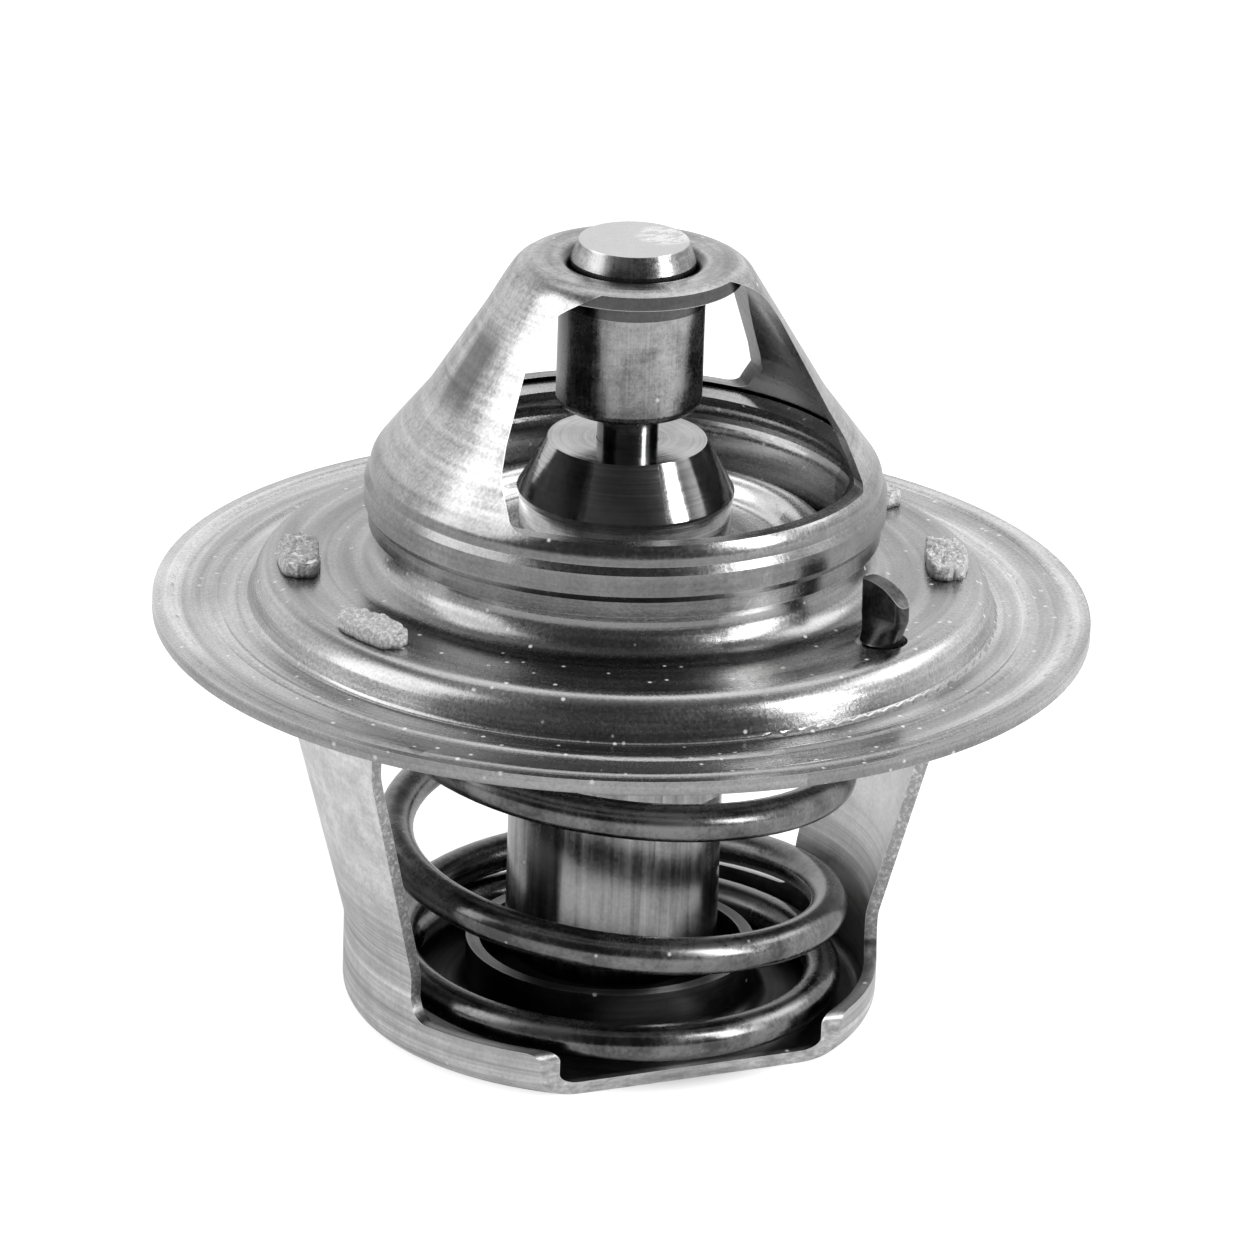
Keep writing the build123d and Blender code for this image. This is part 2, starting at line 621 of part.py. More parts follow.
save(vent_pin, "vent_pin")
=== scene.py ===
# %% [markdown]
# A wax thermostat for an engine's coolant circuit, closed and standing on its lower
# frame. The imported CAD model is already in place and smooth, so it is loaded first.
# Blender then adds the finishes, the light and the camera, and makes again only the
# pieces whose surface or movement needs more than the CAD solid gives.

import bmesh
import bpy
import math
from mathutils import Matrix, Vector, noise


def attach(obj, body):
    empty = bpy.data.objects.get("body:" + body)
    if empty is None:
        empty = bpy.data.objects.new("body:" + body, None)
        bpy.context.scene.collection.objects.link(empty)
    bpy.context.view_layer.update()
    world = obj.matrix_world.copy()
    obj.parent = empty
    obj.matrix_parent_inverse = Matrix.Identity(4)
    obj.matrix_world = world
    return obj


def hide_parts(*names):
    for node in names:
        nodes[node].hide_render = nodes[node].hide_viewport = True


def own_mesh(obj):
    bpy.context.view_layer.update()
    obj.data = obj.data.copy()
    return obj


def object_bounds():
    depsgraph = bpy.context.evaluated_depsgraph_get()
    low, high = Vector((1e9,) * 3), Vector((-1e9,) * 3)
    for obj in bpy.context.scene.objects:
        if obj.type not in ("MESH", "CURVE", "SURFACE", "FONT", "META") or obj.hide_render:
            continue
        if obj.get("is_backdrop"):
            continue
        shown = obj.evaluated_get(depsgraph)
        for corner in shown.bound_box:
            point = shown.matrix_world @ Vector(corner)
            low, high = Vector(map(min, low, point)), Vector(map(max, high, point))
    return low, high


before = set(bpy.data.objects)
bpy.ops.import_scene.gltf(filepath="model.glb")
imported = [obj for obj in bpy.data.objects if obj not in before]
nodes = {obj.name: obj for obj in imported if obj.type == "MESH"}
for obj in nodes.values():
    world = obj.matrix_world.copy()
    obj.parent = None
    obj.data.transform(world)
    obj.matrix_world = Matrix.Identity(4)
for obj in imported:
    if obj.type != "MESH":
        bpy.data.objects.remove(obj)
cad_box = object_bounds()
print("CAD box, metres:", cad_box)

MM = 0.001


def at_azimuth(radius, azimuth, height):
    """Place in metres from millimetres. The azimuth counts from -Y towards +X."""
    turn = math.radians(azimuth)
    return Vector((radius * math.sin(turn), -radius * math.cos(turn), height)) * MM


# %% [markdown]
# The camera stands where the photographer's did. Its place and its angles were solved
# from the round edges of the rim and the hat, which are ellipses in the picture. The
# lens is long, so the ellipses are almost the same shape at every height.

# %% Camera
CAMERA_PLACE_MM = (-173.359, -408.408, 175.055)
CAMERA_ANGLES = (68.2859, -1.838, -22.322)
SENSOR_MM = 36.0
LENS_MM = 266.85

camera_data = bpy.data.cameras.new("camera")
camera_data.sensor_width = SENSOR_MM
camera_data.lens = LENS_MM
camera_data.clip_start = 0.01
camera_data.clip_end = 20.0
camera = bpy.data.objects.new("camera", camera_data)
bpy.context.scene.collection.objects.link(camera)
camera.location = Vector(CAMERA_PLACE_MM) * MM
camera.rotation_euler = [math.radians(angle) for angle in CAMERA_ANGLES]
bpy.context.scene.camera = camera
bpy.context.scene.view_settings.view_transform = "Standard"
print("camera distance, metres:", round(camera.location.length, 3))


# %% [markdown]
# Light, floor and finishes are all made of shader nodes, so a few short helpers come
# first. Each adds one node and wires it, and takes a number or another node's socket.

# %% Node helpers
def add(tree, kind, **values):
    """New shader node, with its own settings given by name."""
    node = tree.nodes.new(kind)
    for name, value in values.items():
        setattr(node, name, value)
    return node


def feed(tree, slot, value):
    """Gives an input its value: a number, a grey, or a link from a socket."""
    if not isinstance(value, (int, float)):
        tree.links.new(value, slot)
    elif slot.type == "RGBA":
        slot.default_value = (value, value, value, 1.0)
    else:
        slot.default_value = value


def maths(tree, operation, *values):
    """Math node on numbers and sockets."""
    node = add(tree, "ShaderNodeMath", operation=operation)
    for slot, value in zip(node.inputs, values):
        feed(tree, slot, value)
    return node.outputs[0]


def blend_in(tree, base, colour, mask):
    """Mix of two colours by a mask."""
    node = add(tree, "ShaderNodeMix", data_type="RGBA")
    slots = node.inputs[0], node.inputs[6], node.inputs[7]
    for slot, value in zip(slots, (mask, base, colour)):
        feed(tree, slot, value)
    return node.outputs[2]


def stain(tree, base, grey, share, *masks):
    """Lays a grey over a colour, by a share and where all the masks meet."""
    for mask in masks:
        share = maths(tree, "MULTIPLY", mask, share)
    return blend_in(tree, base, grey, share)


def split(tree, vector):
    """X, Y and Z of a vector socket."""
    node = add(tree, "ShaderNodeSeparateXYZ")
    feed(tree, node.inputs[0], vector)
    return node.outputs["X"], node.outputs["Y"], node.outputs["Z"]


def ramp(tree, factor, stops, interpolation="LINEAR"):
    """Colour ramp in greys: stops are (position, grey)."""
    node = add(tree, "ShaderNodeValToRGB")
    node.color_ramp.interpolation = interpolation
    elements = node.color_ramp.elements
    while len(elements) < len(stops):
        elements.new(0.5)
    for element, (position, grey) in zip(elements, stops):
        element.position = position
        element.color = (grey, grey, grey, 1.0)
    feed(tree, node.inputs[0], factor)
    return node.outputs[0]


def fade(tree, value, start, end):
    """Number that goes from 0 at start to 1 at end."""
    node = add(tree, "ShaderNodeMapRange")
    feed(tree, node.inputs["Value"], value)
    node.inputs["From Min"].default_value = start
    node.inputs["From Max"].default_value = end
    return node.outputs["Result"]


def length(tree, vector):
    """Length of a vector socket."""
    node = add(tree, "ShaderNodeVectorMath", operation="LENGTH")
    feed(tree, node.inputs[0], vector)
    return node.outputs["Value"]


# %% [markdown]
# Bare steel shows its surroundings, so the surroundings are a finish of their own.
# A small studio is wrapped round the part: pale behind it, dark on the camera's side,
# where the room is, and dimmer overhead. A panorama of a real studio would also do, but
# a few nodes can be tuned one by one. The camera itself sees plain white.

# %% World
CAMERA_AZIMUTH = -23.0
WORLD_PALE = 1.0
WORLD_DARK = 0.045
WORLD_FILL = 0.3
ZENITH_SHARE = 0.35
ZENITH_FROM, ZENITH_TO = 0.45, 0.85

world = bpy.data.worlds.new("studio")
world.use_nodes = True
bpy.context.scene.world = world
tree = world.node_tree
tree.nodes.clear()
direction = add(tree, "ShaderNodeTexCoord").outputs["Generated"]
facing = add(tree, "ShaderNodeVectorMath", operation="DOT_PRODUCT")
feed(tree, facing.inputs[0], direction)
facing.inputs[1].default_value = at_azimuth(1000, CAMERA_AZIMUTH, 0)
towards_room = maths(tree, "MULTIPLY_ADD", facing.outputs["Value"], 0.5, 0.5)
studio_stops = [
    (0.0, WORLD_PALE),
    (0.45, WORLD_PALE * 0.8),
    (0.64, WORLD_DARK * 3),
    (1.0, WORLD_DARK),
]
studio = ramp(tree, towards_room, studio_stops, "EASE")
_, _, upwards = split(tree, direction)
overhead = fade(tree, upwards, ZENITH_FROM, ZENITH_TO)
studio = stain(tree, studio, 0.0, 1 - ZENITH_SHARE, overhead)
rays = add(tree, "ShaderNodeLightPath").outputs
straight = maths(tree, "MAXIMUM", rays["Is Camera Ray"], rays["Is Transmission Ray"])
surroundings = blend_in(tree, WORLD_FILL, studio, rays["Is Glossy Ray"])
background = add(tree, "ShaderNodeBackground")
feed(tree, background.inputs["Color"], blend_in(tree, surroundings, 1.0, straight))
surface = add(tree, "ShaderNodeOutputWorld")
feed(tree, surface.inputs["Surface"], background.outputs[0])
print("world nodes:", len(tree.nodes))

# %% [markdown]
# Four soft boxes draw the long highlights: a large one on the left for the bright leg
# of the bridge, a narrow one on the right for the streak down the cone, one further
# round for the neck, and a weak one high up behind for the upward faces. Their width
# sets how wide a highlight is, so they are area lamps and not points.


# %% Soft boxes
def softbox(name, azimuth, elevation, distance, width, height, power):
    """Area lamp that looks at the part. The azimuth counts from the camera's side."""
    data = bpy.data.lights.new(name, "AREA")
    data.shape = "RECTANGLE"
    data.size = width
    data.size_y = height
    data.energy = power
    lamp = bpy.data.objects.new(name, data)
    bpy.context.scene.collection.objects.link(lamp)
    rise = math.radians(elevation)
    out = distance / MM
    azimuth += CAMERA_AZIMUTH
    lamp.location = at_azimuth(out * math.cos(rise), azimuth, out * math.sin(rise))
    lamp.rotation_euler = (-lamp.location).to_track_quat("-Z", "Y").to_euler()
    return lamp


LAMP_DISTANCE = 0.6
softbox("key", -78, 30, LAMP_DISTANCE, 0.4, 0.5, 1.2)
softbox("fill", 65, 28, LAMP_DISTANCE, 0.14, 0.4, 1.9)
softbox("side", 112, 38, LAMP_DISTANCE, 0.3, 0.25, 0.6)
softbox("top", 180, 60, LAMP_DISTANCE, 0.5, 0.3, 0.5)
print("soft boxes:", [light.name for light in bpy.data.lights])

# %% [markdown]
# The floor is a pale sheet. A little glow towards the camera makes it the same white as
# the background, and the lamps still leave the part's own shadow on it. Under the part,
# seen through the eye of the frame, a shadow is painted: the sheet is near black there
# and its glow is cut.

# %% Floor
FLOOR_GREY = 0.55
FLOOR_GLOW = 0.8
FLOOR_GLOW_IN_METAL = 0.38
UNDER_PART = 0.009
OPEN_FLOOR = 0.0126
FLOOR_REACH = 3.0
FLOOR_GAP = 0.00002

floor_mesh = bpy.data.meshes.new("floor")
signs = ((-1, -1), (1, -1), (1, 1), (-1, 1))
corners = [(x * FLOOR_REACH, y * FLOOR_REACH, 0) for x, y in signs]
floor_mesh.from_pydata(corners, [], [(0, 1, 2, 3)])
floor = bpy.data.objects.new("floor", floor_mesh)
bpy.context.scene.collection.objects.link(floor)
floor.location.z = cad_box[0][2] - FLOOR_GAP
paint = bpy.data.materials.new("floor_paint")
paint.use_nodes = True
tree = paint.node_tree
shader = tree.nodes["Principled BSDF"]
shader.inputs["Roughness"].default_value = 0.9
shader.inputs["Emission Color"].default_value = (1, 1, 1, 1)
from_axis = length(tree, add(tree, "ShaderNodeTexCoord").outputs["Object"])
in_open = fade(tree, from_axis, UNDER_PART, OPEN_FLOOR)
rays = add(tree, "ShaderNodeLightPath").outputs
in_metal = maths(tree, "MULTIPLY", rays["Is Glossy Ray"], FLOOR_GLOW_IN_METAL)
glow = maths(tree, "MULTIPLY_ADD", rays["Is Camera Ray"], FLOOR_GLOW, in_metal)
# Painted shadow under the part: the glow is cut and the sheet is near black.
feed(tree, shader.inputs["Emission Strength"], maths(tree, "MULTIPLY", glow, in_open))
feed(tree, shader.inputs["Base Color"], blend_in(tree, 0.02, FLOOR_GREY, in_open))
floor_mesh.materials.append(paint)
floor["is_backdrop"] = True
print("floor height, metres:", floor.location.z)

# %% [markdown]
# Every piece is bare steel, and what tells them apart is how they were made. Turning and
# spinning leave fine rings round the axis, drawing leaves streaks along it, handling
# leaves smudges, and edges are rubbed bright; the pale edges are also a painted
# highlight. Each of these marks is one node group that puts out a mask, and the materials
# below mix them in different shares. The marks could be painted on images too, but a
# pattern that follows the axis needs no unwrapping and stays sharp from near by.


# %% Group helpers
FLOAT = "NodeSocketFloat"


def new_group(name, inputs, outputs):
    """Empty shader group with named float sockets, and its inner start and end nodes."""
    group = bpy.data.node_groups.new(name, "ShaderNodeTree")
    for socket, value in inputs.items():
        made = group.interface.new_socket(socket, in_out="INPUT", socket_type=FLOAT)
        made.default_value = value
    for socket in outputs:
        group.interface.new_socket(socket, in_out="OUTPUT", socket_type=FLOAT)
    start = add(group, "NodeGroupInput")
    end = add(group, "NodeGroupOutput")
    return group, start.outputs, end.inputs


def round_the_axis(tree):
    """Radius, azimuth and height of the shaded point, and its place."""
    place = add(tree, "ShaderNodeTexCoord").outputs["Object"]
    x, y, height = split(tree, place)
    flat = add(tree, "ShaderNodeCombineXYZ")
    feed(tree, flat.inputs["X"], x)
    feed(tree, flat.inputs["Y"], y)
    azimuth = maths(tree, "ARCTAN2", x, y)
    return length(tree, flat.outputs[0]), azimuth, height, place


def cloud(tree, x, y, z, detail=3.0, roughness=0.6):
    """Noise over three numbers, from 0 to 1."""
    vector = add(tree, "ShaderNodeCombineXYZ")
    for slot, value in zip(vector.inputs, (x, y, z)):
        feed(tree, slot, value)
    texture = add(tree, "ShaderNodeTexNoise")
    texture.inputs["Scale"].default_value = 1.0
    texture.inputs["Detail"].default_value = detail
    texture.inputs["Roughness"].default_value = roughness
    feed(tree, texture.inputs["Vector"], vector.outputs[0])
    return texture.outputs["Fac"]


print("group helpers ready")


# %% Rings and streaks
def ring_group():
    """Fine rings round the axis, Pitch of them to the metre, that drift as they go round."""
    inputs = {"Pitch": 4000.0, "Drift": 0.6}
    group, given, result = new_group("turned rings", inputs, ["Rings"])
    radius, azimuth, height, _ = round_the_axis(group)
    across = maths(group, "MULTIPLY", radius, given["Pitch"])
    along = maths(group, "MULTIPLY", height, given["Pitch"])
    about = maths(group, "MULTIPLY", azimuth, given["Drift"])
    feed(group, result["Rings"], cloud(group, across, along, about, 2.0, 0.7))
    return group


def streak_group():
    """Streaks along the axis, Count of them to the radian, that wander along their length."""
    inputs = {"Count": 12.0, "Wander": 60.0}
    group, given, result = new_group("drawn streaks", inputs, ["Streaks"])
    _, azimuth, height, _ = round_the_axis(group)
    about = maths(group, "MULTIPLY", azimuth, given["Count"])
    along = maths(group, "MULTIPLY", height, given["Wander"])
    feed(group, result["Streaks"], cloud(group, about, along, 0.0, 4.0, 0.65))
    return group


rings = ring_group()
streaks = streak_group()
print("groups:", rings.name, streaks.name)


# %% [markdown]
# Smudges are soft clouds. Dust is a scatter of small pale dots: a Voronoi texture gives
# each dot its own cell, and only a few cells keep theirs.


# %% Smudges and dust
def smudge_group():
    """Soft clouds of a size per metre."""
    group, given, result = new_group("smudges", {"Size": 300.0}, ["Smudges"])
    _, _, _, place = round_the_axis(group)
    texture = add(group, "ShaderNodeTexNoise")
    texture.inputs["Detail"].default_value = 6.0
    texture.inputs["Roughness"].default_value = 0.6
    feed(group, texture.inputs["Vector"], place)
    feed(group, texture.inputs["Scale"], given["Size"])
    feed(group, result["Smudges"], fade(group, texture.outputs["Fac"], 0.28, 0.72))
    return group


def dust_group():
    """Small dots, Cells to the metre, of which Share keep theirs."""
    group, given, result = new_group("dust", {"Share": 0.12, "Cells": 1100.0}, ["Dust"])
    _, _, _, place = round_the_axis(group)
    texture = add(group, "ShaderNodeTexVoronoi", feature="F1")
    feed(group, texture.inputs["Vector"], place)
    feed(group, texture.inputs["Scale"], given["Cells"])
    channel = add(group, "ShaderNodeSeparateColor")
    feed(group, channel.inputs[0], texture.outputs["Color"])
    kept = maths(group, "LESS_THAN", channel.outputs["Red"], given["Share"])
    near = fade(group, texture.outputs["Distance"], 0.16, 0.08)
    feed(group, result["Dust"], maths(group, "MULTIPLY", near, kept))
    return group


smudges = smudge_group()
dust = dust_group()
print("groups:", smudges.name, dust.name)


# %% [markdown]
# Pale edges, partly rubbed wear and partly a painted highlight, come from the Bevel node:
# where the rounded normal leaves the real one, there is an edge. Painted shade comes from
# ambient occlusion, the share of open space that a point sees: hollows and creases, where
# less light reaches, are painted dark.


# %% Edges and painted shade
def edge_group():
    """1 where the surface turns within the width, in metres."""
    group, given, result = new_group("rubbed edges and painted shine", {"Width": 0.0002}, ["Edges"])
    rounded = add(group, "ShaderNodeBevel", samples=4)
    feed(group, rounded.inputs["Radius"], given["Width"])
    agree = add(group, "ShaderNodeVectorMath", operation="DOT_PRODUCT")
    feed(group, agree.inputs[0], rounded.outputs[0])
    feed(group, agree.inputs[1], add(group, "ShaderNodeNewGeometry").outputs["Normal"])
    feed(group, result["Edges"], fade(group, agree.outputs["Value"], 0.98, 0.75))
    return group


# Mask for painted shade: ambient occlusion marks the hollows and creases to darken.
def hollow_shade_group(name, own):
    """1 in hollows that are closed within the depth, in metres, by any piece or by its own."""
    group, given, result = new_group(name, {"Depth": 0.008}, ["Grime"])
    space = add(group, "ShaderNodeAmbientOcclusion", samples=8, only_local=own)
    feed(group, space.inputs["Distance"], given["Depth"])
    feed(group, result["Grime"], fade(group, space.outputs["AO"], 0.75, 0.25))
    return group


edges = edge_group()
hollow_shade = hollow_shade_group("hollow_shade", False)
own_hollow_shade = hollow_shade_group("own hollow shade", True)
print("groups:", [group.name for group in bpy.data.node_groups])


# %% [markdown]
# One function lays the marks on a steel. Greys are the darkest and palest that the
# steel gets. Each mark is a group, its share, and its first input: lines or cells to the
# metre. Relief is how deep the marks are cut, which only the bump shows. Painted shade is
# a group, its share and its depth: it darkens hollows and creases, where shade falls.
# Edge is a share and a width: it paints edges pale, partly as rubbed wear and partly as a
# painted highlight. These three sizes are in millimetres. Dots is the share of the cells
# that hold a speck of powder. The powder lies on the steel, so it is white and not
# metallic. Extra adds the marks of one piece alone.


# %% Steel
TONE_FROM, TONE_TO = 0.34, 0.66
SHADE_GREY = 0.02
POWDER_GREY = 0.98
EDGE_WEAR_AND_SHINE_GREY = 0.92
DUST_SHARE = 0.9


def use(tree, group, value):
    """Places a mark group with its first input set, and gives its output."""
    node = add(tree, "ShaderNodeGroup", node_tree=group)
    node.inputs[0].default_value = value
    return node.outputs[0]


def steel(
    name,
    greys,
    roughness,
    marks,
    relief=0.003,
    painted_shade=(hollow_shade, 0.5, 6),
    edge=(0.4, 0.08),
    dots=0.03,
    extra=None,
    shine=1.0,
):
    """Bare steel with its marks."""
    material = bpy.data.materials.new(name)
    material.use_nodes = True
    tree = material.node_tree
    shader = tree.nodes["Principled BSDF"]
    total = sum(share for _, share, _ in marks)
    tone = 0.0
    for group, share, value in marks:
        tone = maths(tree, "MULTIPLY_ADD", use(tree, group, value), share / total, tone)
    tone = fade(tree, tone, TONE_FROM, TONE_TO)
    colour = blend_in(tree, greys[0], greys[1], tone)
    # Painted shade: the colour is darkened in hollows and creases.
    group, share, depth = painted_shade
    colour = stain(tree, colour, SHADE_GREY, share, use(tree, group, depth * MM))
    powder = maths(tree, "MULTIPLY", use(tree, dust, dots), DUST_SHARE)
    if extra:
        colour, scratches = extra(tree, colour)
        powder = maths(tree, "MAXIMUM", powder, scratches)
    colour = blend_in(tree, colour, POWDER_GREY, powder)
    feed(tree, shader.inputs["Metallic"], maths(tree, "SUBTRACT", shine, powder))
    # Pale edges: partly rubbed wear, partly a painted highlight along each edge.
    colour = stain(tree, colour, EDGE_WEAR_AND_SHINE_GREY, edge[0], use(tree, edges, edge[1] * MM))
    feed(tree, shader.inputs["Base Color"], colour)
    rough = maths(tree, "MULTIPLY_ADD", tone, roughness[1] - roughness[0], roughness[0])
    feed(tree, shader.inputs["Roughness"], rough)
    cut = add(tree, "ShaderNodeBump")
    cut.inputs["Distance"].default_value = relief * MM
    feed(tree, cut.inputs["Height"], tone)
    feed(tree, shader.inputs["Normal"], cut.outputs[0])
    return material


print("steel is ready")

# %% [markdown]
# Some places on a sheet differ from the rest. What tells them apart is where they lie and
# which way they face: an inner face looks at the axis, a cut edge looks neither at it nor
# away from it. Each limit below is a pair, where a mark is still 0 and where it is full.


# %% Where on a sheet
def turned_out(tree):
    """How far a face looks away from the axis, from -1 to 1, and how far up."""
    _, _, _, place = round_the_axis(tree)
    out = add(tree, "ShaderNodeVectorMath", operation="MULTIPLY")
    feed(tree, out.inputs[0], place)
    out.inputs[1].default_value = (1, 1, 0)
    unit = add(tree, "ShaderNodeVectorMath", operation="NORMALIZE")
    feed(tree, unit.inputs[0], out.outputs[0])
    agree = add(tree, "ShaderNodeVectorMath", operation="DOT_PRODUCT")
    normal = add(tree, "ShaderNodeNewGeometry").outputs["True Normal"]
    feed(tree, agree.inputs[0], unit.outputs[0])
    feed(tree, agree.inputs[1], normal)
    _, _, up = split(tree, normal)
    return agree.outputs["Value"], up


def within(tree, value, limits, unit=MM):
    """Number that goes from 0 to 1 between two limits, in millimetres if not said."""
    return fade(tree, value, limits[0] * unit, limits[1] * unit)


def apart(tree, value, centre):
    """Distance of a number from a centre."""
    return maths(tree, "ABSOLUTE", maths(tree, "SUBTRACT", value, centre))


def torn_edge(tree, out, up):
    """Uneven 1 on the upright cut edges of the sheets, which the punch tore."""
    across = fade(tree, maths(tree, "ABSOLUTE", out), 0.4, 0.2)
    level = fade(tree, maths(tree, "ABSOLUTE", up), 0.6, 0.4)
    torn = fade(tree, use(tree, rings, 4200), 0.3, 0.55)
    return maths(tree, "MULTIPLY", maths(tree, "MULTIPLY", across, level), torn)


print("places ready")

# %% [markdown]
# Four pieces have marks of their own. The flange has broad bands and is darker on the hat,
# and the front of its rim is darkened as a painted dark reflection. The bridge gets painted
# shade on its inner faces and in its eye, is darker at its collar, and has torn edges and a
# dark streak down one leg. Each function takes the steel's colour and gives it back with
# the marks, and with a mask of white scratches, which is 0 here.

# %% Marks of flange and bridge
RIM = (18.2, 19.2)
RIM_FRONT = math.radians(-180 - CAMERA_AZIMUTH)
RIM_FRONT_FACING = (0.35, 0.9)
STREAK_TURN = math.radians(-91)
STREAK_HALF_TURN = (0.2, 0.1)
STREAK_HEIGHT = 13.7
STREAK_HALF_HEIGHT = (2.5, 1.2)
EYE_RADIUS = (5.3, 4.7)
EYE_HEIGHT = (18.4, 18.1)
COLLAR = (8.8, 7.2)
LIP = (17.3, 17.6)
FACING_IN = (-0.2, -0.6)
FACING_OUT = (0.9, 0.97)
FACING_UP = (0.7, 0.9)


def broad_bands(tree, pitch):
    """Bands of the spinning tool, some of them to the metre."""
    return fade(tree, use(tree, rings, pitch), 0.42, 0.6)


def banded_flange(tree, colour):
    """Broad dark bands, a darker hat, and a front of the rim darkened as a painted dark
    reflection.
    """
    radius, azimuth, _, _ = round_the_axis(tree)
    rim = within(tree, radius, RIM)
    colour = stain(tree, colour, 0.2, 0.45, maths(tree, "SUBTRACT", 1.0, rim))
    # Painted dark reflection: the front of the rim, which faces the camera, is darkened.
    from_front = maths(tree, "SUBTRACT", azimuth, RIM_FRONT)
    front = within(tree, maths(tree, "COSINE", from_front), RIM_FRONT_FACING, 1)
    colour = stain(tree, colour, 0.15, 0.45, front, rim)
    return stain(tree, colour, 0.1, 0.4, broad_bands(tree, 520)), 0.0


def bridge_wear_and_shade(tree, colour):
    """Streak, painted shade in the eye, darker collar, painted shade on inner faces, lip,
    banded top and torn edges, in this order.
    """
    radius, azimuth, height, _ = round_the_axis(tree)
    beside = within(tree, apart(tree, azimuth, STREAK_TURN), STREAK_HALF_TURN, 1)
    along = within(tree, apart(tree, height, STREAK_HEIGHT * MM), STREAK_HALF_HEIGHT)
    colour = stain(tree, colour, 0.06, 0.7, beside, along)
    # Painted shade in the turned-down eye, which lies recessed under the annulus.
    eye = within(tree, radius, EYE_RADIUS)
    colour = stain(tree, colour, 0.04, 0.8, eye, within(tree, height, EYE_HEIGHT))
    colour = stain(tree, colour, 0.1, 0.55, within(tree, height, COLLAR))
    out, up = turned_out(tree)
    # Painted shade on the inner faces, which look at the axis.
    colour = stain(tree, colour, 0.06, 0.85, within(tree, out, FACING_IN, 1))
    outer = within(tree, out, FACING_OUT, 1)
    colour = stain(tree, colour, 0.05, 0.85, outer, within(tree, height, LIP))
    level = within(tree, up, FACING_UP, 1)
    colour = stain(tree, colour, 0.1, 0.45, broad_bands(tree, 700), level)
    return stain(tree, colour, 0.05, 0.85, torn_edge(tree, out, up)), 0.0


print("marks of flange and bridge ready")

# %% [markdown]
# The lower frame was scuffed all round its cup when it was drawn, and shade is painted
# near black inside the cup. The bush that holds the piston ends in a nose, which is ground
# pale on top and has white scratches. Noise that is stretched along one way makes the
# scratches, and a distance from one place keeps them together.

# %% Marks of frame and nose
CUP_WALL = (-12.5, -15)
CUP_DEPTH = (-15, -19.5)
CUP_INSIDE = (13.5, 13.0)
CUP_OFF_CUT = (10.85, 10.5)
NOSE_TOP = (19.5, 19.57)
SCRATCH_PLACE = at_azimuth(1.7, 95.0, 19.6)
SCRATCH_RADIUS = (1.6, 1.1)
SCRATCHES_PER_METRE = (1000, 2200)


def frame_wear_and_shade(tree, colour):
    """Scuffs round the wall of the cup, and painted shade, near black, on its floor and inside
    its wall.
    """
    radius, _, height, place = round_the_axis(tree)
    scuffs = fade(tree, use(tree, rings, 3200), 0.25, 0.7)
    colour = stain(tree, colour, 0.25, 0.75, within(tree, height, CUP_WALL), scuffs)
    colour = stain(tree, colour, 0.15, 0.6, torn_edge(tree, *turned_out(tree)))
    # Painted shade: the floor and the inside of the cup's wall are darkened to near black.
    _, y, _ = split(tree, place)
    off_cut = within(tree, maths(tree, "ABSOLUTE", y), CUP_OFF_CUT)
    inside = within(tree, radius, CUP_INSIDE)
    deep = within(tree, height, CUP_DEPTH)
    return stain(tree, colour, 0.015, 0.85, inside, off_cut, deep), 0.0


def scratched_nose(tree, colour):
    """Pale top of the nose, with white scratches near one side."""
    _, _, height, place = round_the_axis(tree)
    top = within(tree, height, NOSE_TOP)
    colour = stain(tree, colour, 0.72, 0.75, top)
    away = add(tree, "ShaderNodeVectorMath", operation="DISTANCE")
    feed(tree, away.inputs[0], place)
    away.inputs[1].default_value = SCRATCH_PLACE
    near = within(tree, away.outputs["Value"], SCRATCH_RADIUS)
    x, y = (
        maths(tree, "MULTIPLY", along, count)
        for along, count in zip(split(tree, place), SCRATCHES_PER_METRE)
    )
    lines = fade(tree, cloud(tree, x, y, 0.0, 4.0, 0.7), 0.47, 0.51)
    return colour, maths(tree, "MULTIPLY", maths(tree, "MULTIPLY", near, lines), top)


print("marks of frame and nose ready")

# %% [markdown]
# Now each node of the CAD model gets its own steel. The flange and the bridge above it
# were spun or drawn, and show coarse rings. The bush and the piston were turned and
# ground, so their marks are finer. Every steel comes from the one function above, so that
# a change to it reaches them all.

# %% Finishes of the upper pieces
FINISHES = {
    "flange": steel(
        "flange_steel",
        (0.38, 0.92),
        (0.18, 0.32),
        ((rings, 0.5, 2600), (rings, 0.35, 800), (smudges, 0.15, 200), (smudges, 0.25, 6000)),
        0.004,
        (hollow_shade, 0.2, 4),
        dots=0.7,
        extra=banded_flange,
    ),
    "upper_bridge": steel(
        "bridge_steel",
        (0.22, 0.76),
        (0.17, 0.32),
        (
            (rings, 0.5, 1900),
            (rings, 0.3, 500),
            (streaks, 0.35, 9),
            (smudges, 0.15, 420),
            (smudges, 0.25, 5000),
        ),
        0.006,
        (hollow_shade, 0.6, 5),
        edge=(0.7, 0.06),
        extra=bridge_wear_and_shade,
    ),
    "piston_seat": steel(
        "turned_steel",
        (0.2, 0.56),
        (0.2, 0.34),
        ((rings, 0.2, 5000), (streaks, 0.4, 26), (smudges, 0.4, 700), (smudges, 0.2, 6000)),
        painted_shade=(hollow_shade, 0.8, 8),
        extra=scratched_nose,
    ),
    "piston": steel(
        "ground_steel", (0.3, 0.55), (0.1, 0.18), ((rings, 0.3, 6000), (smudges, 0.2, 500))
    ),
}
print("steels:", [finish.name for finish in FINISHES.values()])

# %% [markdown]
# Below the flange, the guide is polished and the drawn cup has streaks along it. The
# frame is satin, a little paler and rougher. The spring wire is dark and has no rubbed
# edge, because a round wire has none to rub.

